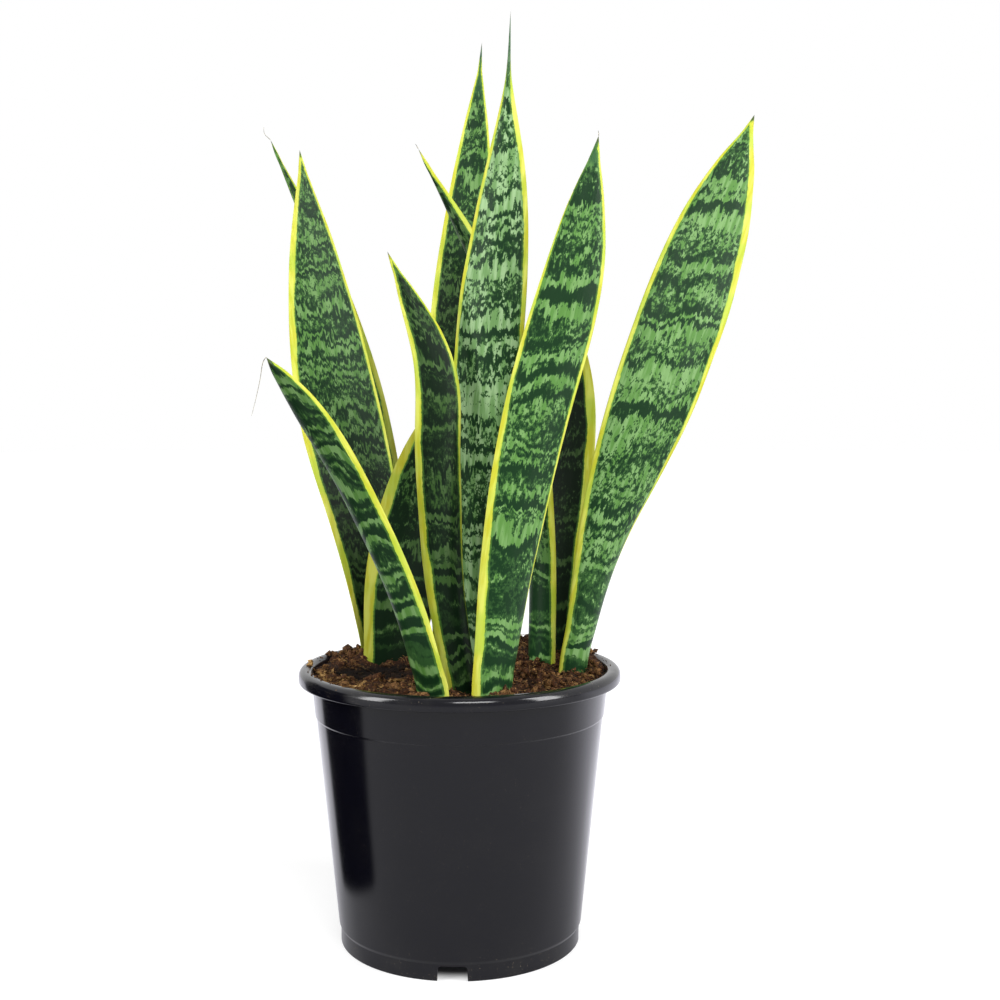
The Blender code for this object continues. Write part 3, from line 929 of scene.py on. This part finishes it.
def make_pot():
    corners = pot_profile()
    bm, rail = new_rail([corner[:2] for corner in corners])
    for vert, (_, _, rounding) in zip(rail, corners):
        if rounding:
            bevel(bm, [vert], rounding, "VERTICES")
    spin(bm, POT_STEPS)
    pot = finished("nursery_pot", bm, pot_material(pot_height()), "pot_plastic", "pot")
    cutters = [
        notch_cutter(FIRST_NOTCH_DEGREES + index * 360 / NOTCH_COUNT)
        for index in range(NOTCH_COUNT)]
    cutters += [hole_cutter(index * 360 / DRAIN_HOLE_COUNT) for index in range(DRAIN_HOLE_COUNT)]
    carve(pot, cutters)
    pot.data.shade_smooth()
    pot.data.set_sharp_from_angle(angle=CREASE)


# Potting mix

class Ground:
    """The top of the mix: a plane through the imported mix's top, with lumps and hollows."""

    def __init__(self):
        self.centre = pot_centre()
        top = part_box("potting_mix")[1][2]
        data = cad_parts["potting_mix"].data
        points = np.empty(len(data.vertices) * 3, np.float32)
        data.vertices.foreach_get("co", points)
        points = points.reshape(-1, 3)
        points = points[points[:, 2] > top - MIX_TOP_DEPTH]
        rows = np.column_stack([np.ones(len(points)), points[:, :2]])
        self.plane = np.linalg.lstsq(rows, points[:, 2], rcond=None)[0]
        self.radius = inner_radius(top) - MIX_GAP

    def spill(self, x, y):
        """How far out loose bits may lie: over the rim at the back, inside it at the front."""
        return self.radius + (SPILL if y > 0 else -SPILL)

    def at(self, distance, angle):
        """The place at a distance and an angle from the pot's axis."""
        return (
            self.centre.x + distance * math.cos(angle), self.centre.y + distance * math.sin(angle))

    def from_axis(self, x, y):
        return math.hypot(x - self.centre.x, y - self.centre.y)

    def level(self, x, y):
        return float(self.plane @ (1.0, x, y))

    def rest(self, x, y):
        """The height that a loose bit rests at, on the mix or on the rim."""
        return pot_height() if self.from_axis(x, y) > self.radius else self.height(x, y)

    def height(self, x, y):
        from_axis = Vector((x - self.centre.x, y - self.centre.y, 0.0))
        near_wall = (from_axis.length / self.radius) ** MIX_EDGE_SHARPNESS
        value = 0.0
        for width, rise in MIX_LUMPS:
            width, rise = width * MM, rise * MM
            value += rise * noise.noise(Vector((x / width, y / width, rise / MM)))
        for degrees, reach, radius, rise in MIX_FORMS:
            angle = math.radians(degrees)
            reach, radius, rise = reach * MM, radius * MM, rise * MM
            middle = Vector((reach * math.cos(angle), reach * math.sin(angle), 0.0))
            value += rise * math.exp(-((from_axis - middle).length / radius) ** 2)
        front = 0.5 - 0.5 * from_axis.y / self.radius
        rise = value * (1 - near_wall * front / 2)
        return self.level(x, y) + rise - MIX_EDGE_DIP * near_wall * front


def make_mix(ground):
    """A closed plug that fills the pot up to its lumpy top."""
    top = ground.level(ground.centre.x, ground.centre.y)
    step = pot_height() - COLLAR_DROP
    base = FOOT_HEIGHT + FLOOR_THICKNESS + MIX_GAP
    profile = [(0.0, base), (inner_radius(base) - MIX_GAP, base)]
    profile.append((inner_radius(step) - MIX_GAP - COLLAR_STEP / 2, step))
    profile.append((inner_radius(step + 2 * COLLAR_STEP) - MIX_GAP, step + 2 * COLLAR_STEP))
    for ring in range(MIX_RINGS, -1, -1):
        profile.append((ground.radius * ring / MIX_RINGS, top))
    bm, _ = new_rail(profile)
    spin(bm, MIX_STEPS)
    for vert in bm.verts:
        if vert.co.z > top - WELD:
            vert.co.z = ground.height(vert.co.x, vert.co.y)
    earth = earth_material(
        "potting_mix_earth", 1.0, "0e0703", "3c2211", "674425", "8f6a3e", ground.plane)
    finished("mix_bed", bm, earth, "potting_mix", "potting_mix")


def scattered(rng, ground, reach, count, column):
    """Random spots on the mix: evenly spread out to a share of its radius, then in the drifts,
    whose counts are in this column. Gives each spot with how golden it is there."""
    spots = []
    for index in range(count):
        distance = ground.radius * reach * math.sqrt(rng.random())
        angle = rng.uniform(0, math.tau)
        spots.append((distance * math.cos(angle), distance * math.sin(angle), 0.0))
    for degrees, distance, spread, *counts in DRIFTS:
        angle = math.radians(degrees)
        distance, spread = distance * MM, spread * MM
        golden = 1.0 if degrees in GOLDEN_DRIFTS else 0.0
        for index in range(counts[column]):
            x = distance * math.cos(angle) + rng.gauss(0, spread)
            y = distance * math.sin(angle) + rng.gauss(0, spread)
            shift = min(1.0, ground.spill(x, y) / math.hypot(x, y))
            spots.append((x * shift, y * shift, golden))
    return [(ground.centre.x + x, ground.centre.y + y, golden) for x, y, golden in spots]


def rim_spots(rng, ground):
    """Spots of crumbs that lie on the rolled rim: a few at the front, more at the back."""
    spots = []
    for degrees, spread, count in RIM_CRUMBS:
        for index in range(count):
            angle = math.radians(rng.gauss(degrees, spread))
            spots.append((*ground.at(rng.uniform(*RIM_REACH) * MM, angle), ON_RIM))
    return spots


def random_turn(rng, tilt):
    return Euler((rng.uniform(-tilt, tilt), rng.uniform(-tilt, tilt), rng.uniform(0, math.tau)))


def place_at(location, turn, scale):
    return Matrix.LocRotScale(Vector(location), turn, Vector(scale))


def make_clods(ground):
    """Loose crumbs and clods: rounded lumps with knocked corners."""
    rng = random.Random(SEED)
    bm = bmesh.new()
    tint = bm.verts.layers.float.new("tint")
    spots = scattered(rng, ground, CLOD_REACH, CLODS, 1) + rim_spots(rng, ground)
    for index, (x, y, golden) in enumerate(spots):
        size = rng.uniform(0.6, 1.4) if index % 3 else rng.uniform(1.4, 3.2)
        if golden == ON_RIM:
            size = rng.uniform(0.25, 0.75)
            golden = 0.0
        size *= MM
        location = (x, y, ground.rest(x, y) + size * 0.25)
        scale = [size * rng.uniform(*span) for span in CLOD_SHAPE]
        shade = rng.random() ** 3 * 0.8 + golden * 0.2
        made = bmesh.ops.create_icosphere(
            bm, subdivisions=1, radius=1.0, matrix=place_at(location, random_turn(rng, 1.0), scale))
        for vert in made["verts"]:
            vert.co += Vector([rng.uniform(-0.3, 0.3) * size for axis in range(3)])
            vert[tint] = shade
    earth = earth_material("clod_earth", 0.8, "150c07", "4a2b17", "74502e", "a47b4c", ground.plane)
    finished("mix_clods", bm, earth, "potting_mix")


def make_chips(ground):
    """Bark chips: split slivers of bark, thin and longer than they are wide."""
    rng = random.Random(SEED + 1)
    bm = bmesh.new()
    tint = bm.verts.layers.float.new("tint")
    for x, y, golden in scattered(rng, ground, CHIP_REACH, CHIPS, 0):
        length = rng.uniform(3.0, 9.0) * MM
        scale = (length, length * rng.uniform(0.12, 0.36), length * rng.uniform(0.07, 0.16))
        location = (x, y, ground.rest(x, y) + scale[2] * 0.6)
        shade = min(1.0, rng.random() ** 2 * 0.7 + golden * rng.uniform(0.4, 1.0))
        first = len(bm.verts)
        made = bmesh.ops.create_cube(
            bm, size=1.0, matrix=place_at(location, random_turn(rng, 0.5), scale))
        edges = {edge for vert in made["verts"] for edge in vert.link_edges}
        long_edges = [edge for edge in edges if edge.calc_length() > length * 0.8]
        bmesh.ops.subdivide_edges(bm, edges=long_edges, cuts=2, use_grid_fill=True)
        bm.verts.ensure_lookup_table()
        for vert in bm.verts[first:]:
            vert.co += Vector([rng.uniform(-0.11, 0.11) * length * part for part in (1, 1, 0.6)])
            vert[tint] = shade
    bark = earth_material("bark", 0.7, "20120a", "4a2e19", "91693b", "cfa669", ground.plane)
    piece = finished("bark_chips", bm, bark, "potting_mix")
    piece.data.set_sharp_from_angle(angle=CREASE)


def strand_mesh(name, strands, thickness):
    """Thin closed tubes along smooth paths, each a list of (point, share of the thickness)."""
    curve = bpy.data.curves.new(name, "CURVE")
    curve.dimensions = "3D"
    curve.bevel_depth = thickness
    curve.bevel_resolution = 0
    curve.resolution_u = 3
    curve.use_fill_caps = True
    for path in strands:
        strand = curve.splines.new("NURBS")
        strand.points.add(len(path) - 1)
        for point, (spot, share) in zip(strand.points, path):
            point.co = (*spot, 1.0)
            point.radius = share
        strand.use_endpoint_u = True
        strand.order_u = 4
    holder = linked(name, curve)
    mesh = evaluated_mesh(holder)
    bpy.data.objects.remove(holder)
    bm = bmesh.new()
    bm.from_mesh(mesh)
    return bm


def make_fibres(ground):
    """Coir fibres: thin curved hairs that lie on the mix and stick out of it."""
    rng = random.Random(SEED + 2)
    strands = []
    for x, y, golden in scattered(rng, ground, FIBRE_REACH, FIBRES, 0):
        heading = rng.uniform(0, math.tau)
        length = rng.uniform(4.0, 15.0) * MM
        curl = rng.uniform(-1.2, 1.2)
        lift = rng.uniform(0.0, 2.6) * MM
        path = []
        for number in range(5):
            part = number / 4
            px = x + length * (part - 0.5) * math.cos(heading + curl * part)
            py = y + length * (part - 0.5) * math.sin(heading + curl * part)
            pz = ground.rest(px, py) + lift * math.sin(math.pi * part) + 0.2 * MM
            path.append(((px, py, pz), rng.uniform(0.5, 1.3)))
        strands.append(path)
    reach = ground.radius + SPILL
    strands = [
        path for path in strands
        if all(ground.from_axis(x, y) < reach for (x, y, z), share in path)]
    strands.append([
        ((*ground.at(out * MM, RIM_FIBRE_TURN + turn), pot_height() + up * MM), 1.8)
        for out, turn, up in RIM_FIBRE])
    bm = strand_mesh("fibres", strands, FIBRE_THICKNESS)
    coir = earth_material("coir", 1.5, "4a3018", "7d5a33", "a8854e", "c9ab74", ground.plane)
    finished("coir_fibres", bm, coir, "potting_mix")


# The dry threads that some leaves end in, as points to the right of the tip and above it.
DRY_THREADS = {
    "back_left_leaf": ((0, 0), (-2.2, 1.8), (-4.0, 3.4), (-4.6, 5.2), (-4.5, 8.5)),
    "curved_leaf": ((0, 0), (-0.8, 1.3), (-1.6, 2.8)),
    "front_right_leaf": ((0, 0), (0.2, 1.2), (-0.2, 2.8)),
    "front_left_leaf": (
        (0, 0), (-1.6, -1.4), (-2.6, -5.5), (-3.2, -11.5), (-5.0, -18.5), (-6.4, -25.0),
        (-8.4, -32.0)),
}


def make_dry_threads():
    strands = []
    for node, steps in DRY_THREADS.items():
        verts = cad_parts[node].data.vertices
        tip = max((vert.co for vert in verts), key=lambda point: point.z)
        strands.append([
            (tip + Vector((right, 0.0, up)) * MM, 1.0 - 0.6 * index / len(steps))
            for index, (right, up) in enumerate(steps)])
    bm = strand_mesh("threads", strands, THREAD_THICKNESS)
    husk = earth_material("dry_husk", 1.5, "8d8570", "a9a18a", "c0b8a2", "d2ccb8")
    finished("dry_threads", bm, husk, "leaf")


# Studio

def add_area_light(name, location, target, size, power):
    light = bpy.data.lights.new(name, "AREA")
    light.shape = "RECTANGLE"
    light.size, light.size_y = size
    light.energy = power
    lamp = linked(name, light)
    lamp.location = location
    lamp.rotation_euler = (target - location).to_track_quat("-Z", "Y").to_euler()


def add_camera():
    camera = bpy.data.cameras.new("camera")
    camera.lens = LENS
    camera.sensor_width = SENSOR
    eye = linked("camera", camera)
    eye.location = pot_centre() + Vector((CAMERA_SIDE, -CAMERA_DISTANCE, CAMERA_HEIGHT))
    eye.rotation_euler = (math.radians(90 - CAMERA_PITCH), 0.0, 0.0)
    bpy.context.scene.camera = eye


def add_floor():
    """A pale floor: white to the eye except under the pot, and with a dark sheet on the left that
    only reflections show."""
    bm = bmesh.new()
    bmesh.ops.create_circle(bm, cap_ends=True, segments=FLOOR_SIDES, radius=FLOOR_RADIUS)
    mesh = mesh_from("floor", bm)
    material, graph, shader = new_material("floor", Roughness=0.9, Specular_IOR_Level=0.1)
    rays = graph.add("LightPath").outputs
    in_mirror = rays["Is Glossy Ray"]
    x, y, z = graph.split(graph.place())
    centre = pot_centre()
    x = graph.minus(x, centre.x)
    y = graph.minus(y, centre.y)
    distance = graph.math("SQRT", graph.times_plus(x, x, graph.times(y, y)))
    near_edge = graph.times_plus(x, -SHEET_NEAR_SLOPE, SHEET_NEAR)
    far_edge = graph.times_plus(x, -SHEET_FAR_SLOPE, SHEET_FAR)
    behind = graph.step(graph.plus(y, near_edge), -SHEET_BLUR, SHEET_BLUR)
    before = graph.step(graph.minus(far_edge, y), -SHEET_BLUR, SHEET_BLUR)
    beside = graph.step(x, SHEET_SIDE + SHEET_BLUR, SHEET_SIDE - SHEET_BLUR)
    sheet = graph.times(graph.times(behind, before), beside)
    hidden = graph.times(sheet, in_mirror)
    dimming = graph.math("MAXIMUM", hidden, graph.times(in_mirror, MIRRORED_DIMMING))
    graph.feed(shader["Base Color"], graph.mix(dimming, FLOOR_GREY, BLACK))
    glow_color = graph.mix(in_mirror, color("ffffff"), color("f3f2ff"))
    graph.feed(shader["Emission Color"], glow_color)
    open_floor = graph.step(distance, FOOT_RADIUS - 16 * MM, FOOT_RADIUS + 2 * MM)
    seen = graph.span(graph.step(distance, 0.2, 1.2), *SEEN_GLOW)
    seen = graph.times(graph.times(seen, open_floor), rays["Is Camera Ray"])
    mirrored_glow = graph.span(graph.step(y, -0.1, 0.25), *MIRRORED_GLOW)
    glow = graph.times_plus(graph.minus(in_mirror, hidden), mirrored_glow, seen)
    graph.feed(shader["Emission Strength"], glow)
    mesh.materials.append(material)
    linked("floor", mesh)


def light_the_world():
    """A white studio, bright behind and in reflections, with a dark flag low on the left."""
    world = bpy.data.worlds.new("studio")
    bpy.context.scene.world = world
    world.use_nodes = True
    world.node_tree.nodes.clear()
    graph = Graph(world.node_tree)
    rays = graph.add("LightPath").outputs
    x, y, z = graph.split(graph.add("TexCoord").outputs["Generated"])
    diffuse = graph.span(graph.step(y, 0.1, 0.75), *WORLD_DIFFUSE)
    glossy = graph.span(graph.step(y, -0.6, 0.3), *WORLD_GLOSSY)
    flag = graph.times(graph.step(y, *FLAG_FRONT), graph.step(y, *FLAG_BACK))
    flag = graph.times(flag, graph.step(x, *FLAG_SIDE))
    flag = graph.times(flag, graph.step(z, *FLAG_TOP))
    glossy = graph.times(glossy, graph.span(flag, 1.0, FLAG_TONE))
    tone = graph.span(rays["Is Glossy Ray"], diffuse, glossy)
    tone = graph.math("MAXIMUM", tone, rays["Is Camera Ray"])
    background = graph.add("Background", {"Color": (1.0, 1.0, 1.0, 1.0), "Strength": tone})
    output = graph.add("OutputWorld")
    graph.feed(output.inputs["Surface"], background.outputs["Background"])


def light_the_plant():
    centre = pot_centre()
    target = centre + Vector((0, 0, LIT_HEIGHT))
    for name, (place, size, power) in LIGHTS.items():
        add_area_light(name, centre + Vector(place), target, size, power)
    bpy.context.scene.view_settings.view_transform = "Standard"


def finish_rhizomes():
    skin = earth_material("rhizome_skin", 1.4, "7a4a1e", "a8692c", "c48a47", "dcb27a")
    for clump in ("front", "right", "back"):
        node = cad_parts[clump + "_rhizome"]
        node.data.materials.clear()
        node.data.materials.append(skin)


def main():
    add_camera()
    light_the_world()
    light_the_plant()
    add_floor()
    make_band_group()
    make_margin_group()
    make_grain_group()
    make_crumb_group()
    make_dust_group()
    make_pot()
    ground = Ground()
    make_mix(ground)
    make_clods(ground)
    make_chips(ground)
    make_fibres(ground)
    finish_rhizomes()
    for number, (node, look) in enumerate(LEAF_LOOKS.items()):
        make_leaf(node, look, number)
    make_dry_threads()


main()
